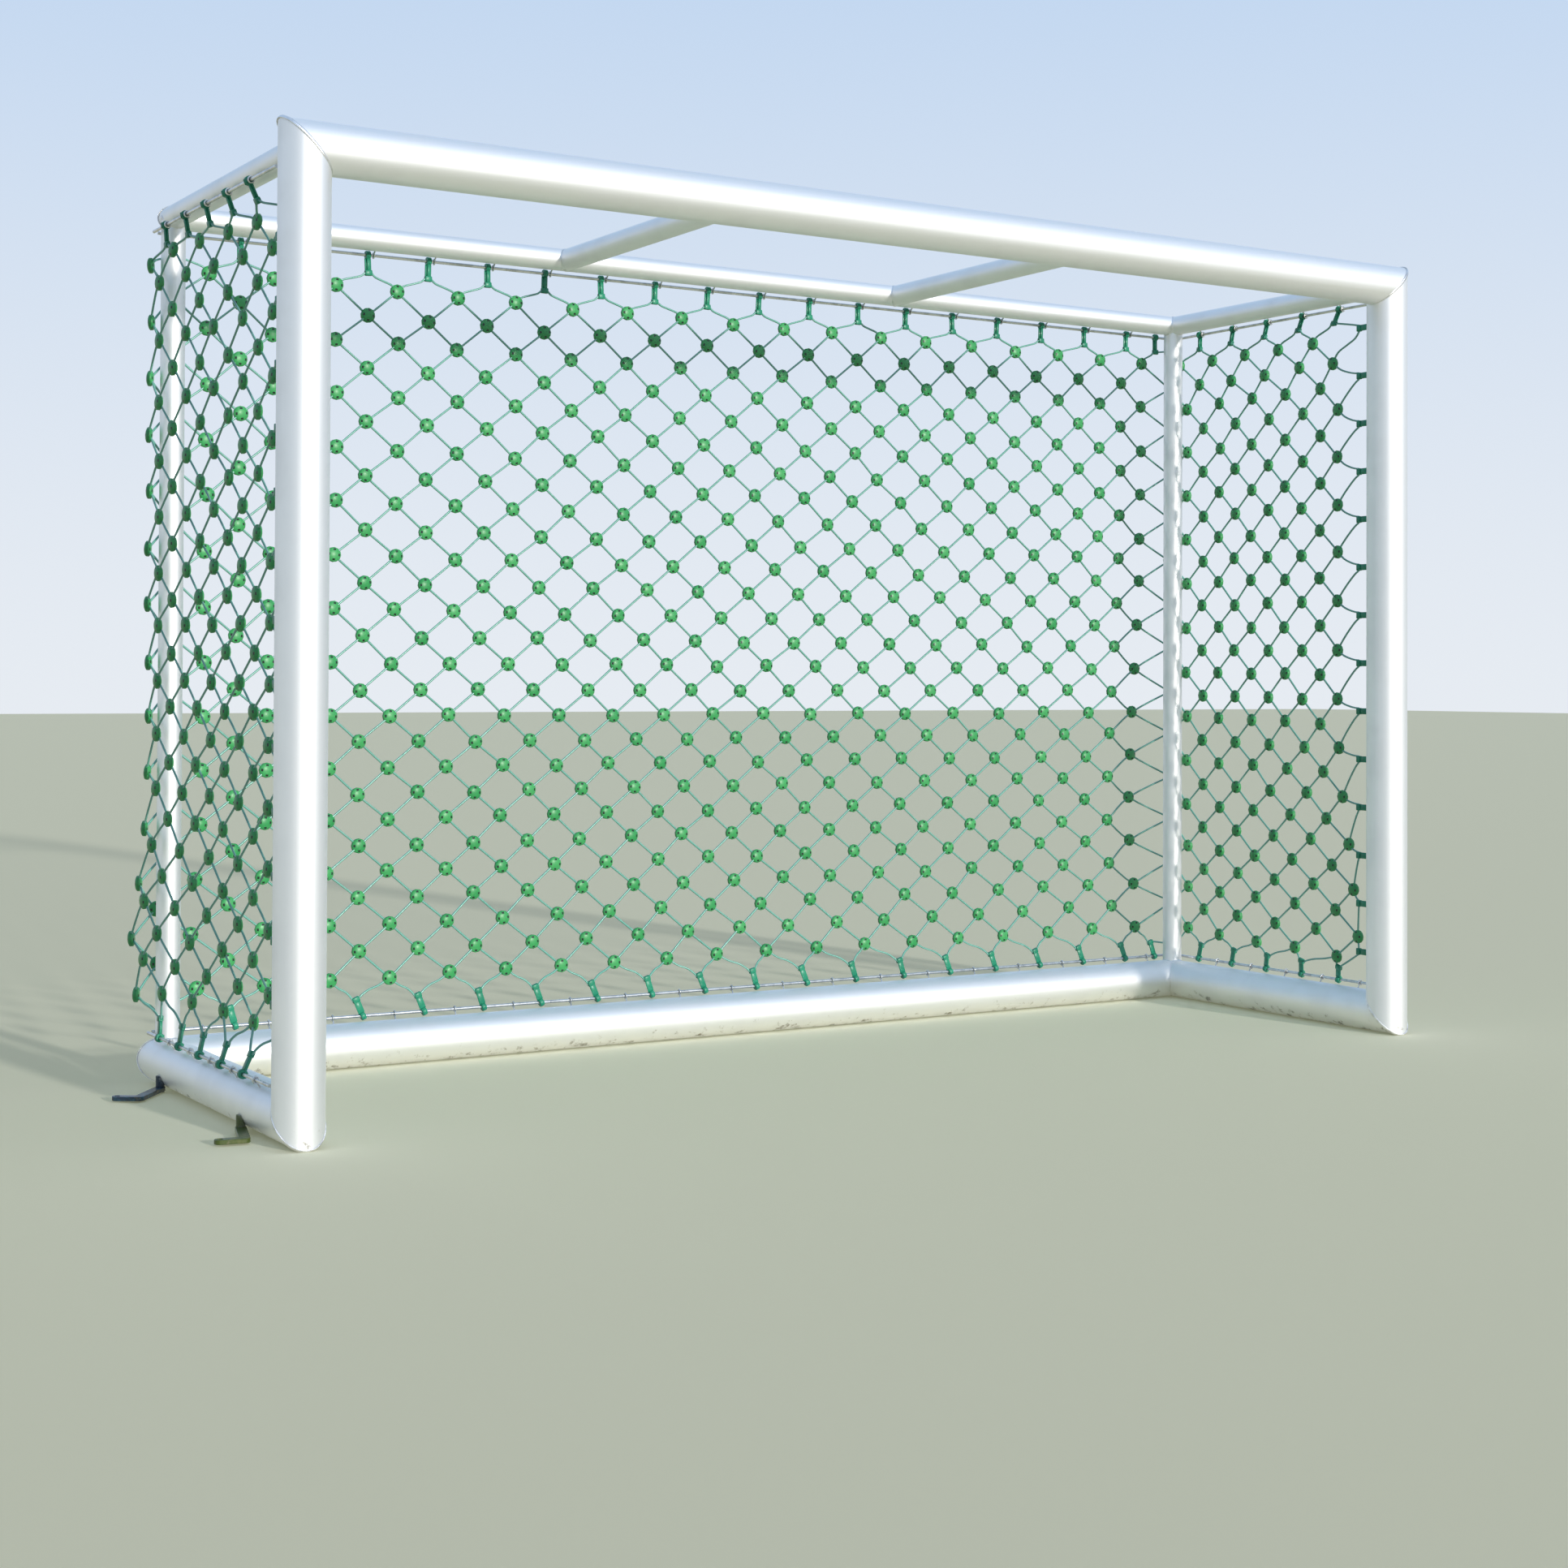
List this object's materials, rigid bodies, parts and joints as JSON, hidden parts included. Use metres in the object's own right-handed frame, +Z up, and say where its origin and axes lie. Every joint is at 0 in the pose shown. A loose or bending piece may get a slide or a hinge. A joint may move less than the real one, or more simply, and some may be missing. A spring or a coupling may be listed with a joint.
{
  "type": "soccer goal",
  "caption": "Free-standing training goal: welded round-tube frame, net rods with eyelets and hooks, diamond net with moulded connectors, swinging ground anchors.",
  "frame": {"origin": "on the ground, under the middle of the frame", "axes": "+X along the crossbar, +Y from the mouth to the rear, +Z up"},
  "size_m": [3.4718, 1, 2.11],
  "materials": {
    "aluminium_tube": "satin, brushed along the tube",
    "galvanised_steel": "bright zinc",
    "hook_plastic": "gloss moulded",
    "connector_plastic": "gloss moulded",
    "net_cord": "braided cord over a steel core",
    "anchor_green": "worn paint",
    "anchor_blue": "worn paint"
  },
  "bodies": {
    "root": {"anchor_studs": "galvanised_steel", "crossbar": "aluminium_tube", "left_ground_eyelets": "galvanised_steel", "left_ground_hooks": "hook_plastic", "left_ground_rod": "galvanised_steel", "left_ground_tube": "aluminium_tube", "left_net_connectors": "connector_plastic", "left_net_edge_loops": "net_cord", "left_net_falling_cords": "net_cord", "left_net_rising_cords": "net_cord", "left_post": "aluminium_tube", "left_post_eyelets": "galvanised_steel", "left_post_hooks": "hook_plastic", "left_post_rod": "galvanised_steel", "left_rear_upright": "aluminium_tube", "left_roof_brace": "aluminium_tube", "left_top_bar": "aluminium_tube", "left_top_eyelets": "galvanised_steel", "left_top_hooks": "hook_plastic", "left_top_rod": "galvanised_steel", "rear_ground_eyelets": "galvanised_steel", "rear_ground_hooks": "hook_plastic", "rear_ground_rod": "galvanised_steel", "rear_ground_tube": "aluminium_tube", "rear_net_connectors": "connector_plastic", "rear_net_edge_loops": "net_cord", "rear_net_falling_cords": "net_cord", "rear_net_rising_cords": "net_cord", "rear_top_bar": "aluminium_tube", "rear_top_eyelets": "galvanised_steel", "rear_top_hooks": "hook_plastic", "rear_top_rod": "galvanised_steel", "right_ground_eyelets": "galvanised_steel", "right_ground_hooks": "hook_plastic", "right_ground_rod": "galvanised_steel", "right_ground_tube": "aluminium_tube", "right_net_connectors": "connector_plastic", "right_net_edge_loops": "net_cord", "right_net_falling_cords": "net_cord", "right_net_rising_cords": "net_cord", "right_post": "aluminium_tube", "right_post_eyelets": "galvanised_steel", "right_post_hooks": "hook_plastic", "right_post_rod": "galvanised_steel", "right_rear_upright": "aluminium_tube", "right_roof_brace": "aluminium_tube", "right_top_bar": "aluminium_tube", "right_top_eyelets": "galvanised_steel", "right_top_hooks": "hook_plastic", "right_top_rod": "galvanised_steel"},
    "left_front_anchor": {"left_front_anchor": "anchor_green"},
    "left_rear_anchor": {"left_rear_anchor": "anchor_blue"},
    "right_front_anchor": {"right_front_anchor": "anchor_green"},
    "right_rear_anchor": {"right_rear_anchor": "anchor_blue"}
  },
  "joints": [
    {"name": "left_front_anchor_swing", "type": "hinge", "parent": "root", "child": "left_front_anchor", "pos_m": [-1.605, -0.235, 0.008], "axis": [0, 0, 1], "range_deg": [-135, 13]},
    {"name": "left_rear_anchor_swing", "type": "hinge", "parent": "root", "child": "left_rear_anchor", "pos_m": [-1.605, 0.335, 0.008], "axis": [0, 0, 1], "range_deg": [-112, 36]},
    {"name": "right_front_anchor_swing", "type": "hinge", "parent": "root", "child": "right_front_anchor", "pos_m": [1.605, -0.235, 0.008], "axis": [0, 0, 1], "range_deg": [-13, 135]},
    {"name": "right_rear_anchor_swing", "type": "hinge", "parent": "root", "child": "right_rear_anchor", "pos_m": [1.605, 0.335, 0.008], "axis": [0, 0, 1], "range_deg": [-36, 112]}
  ]
}
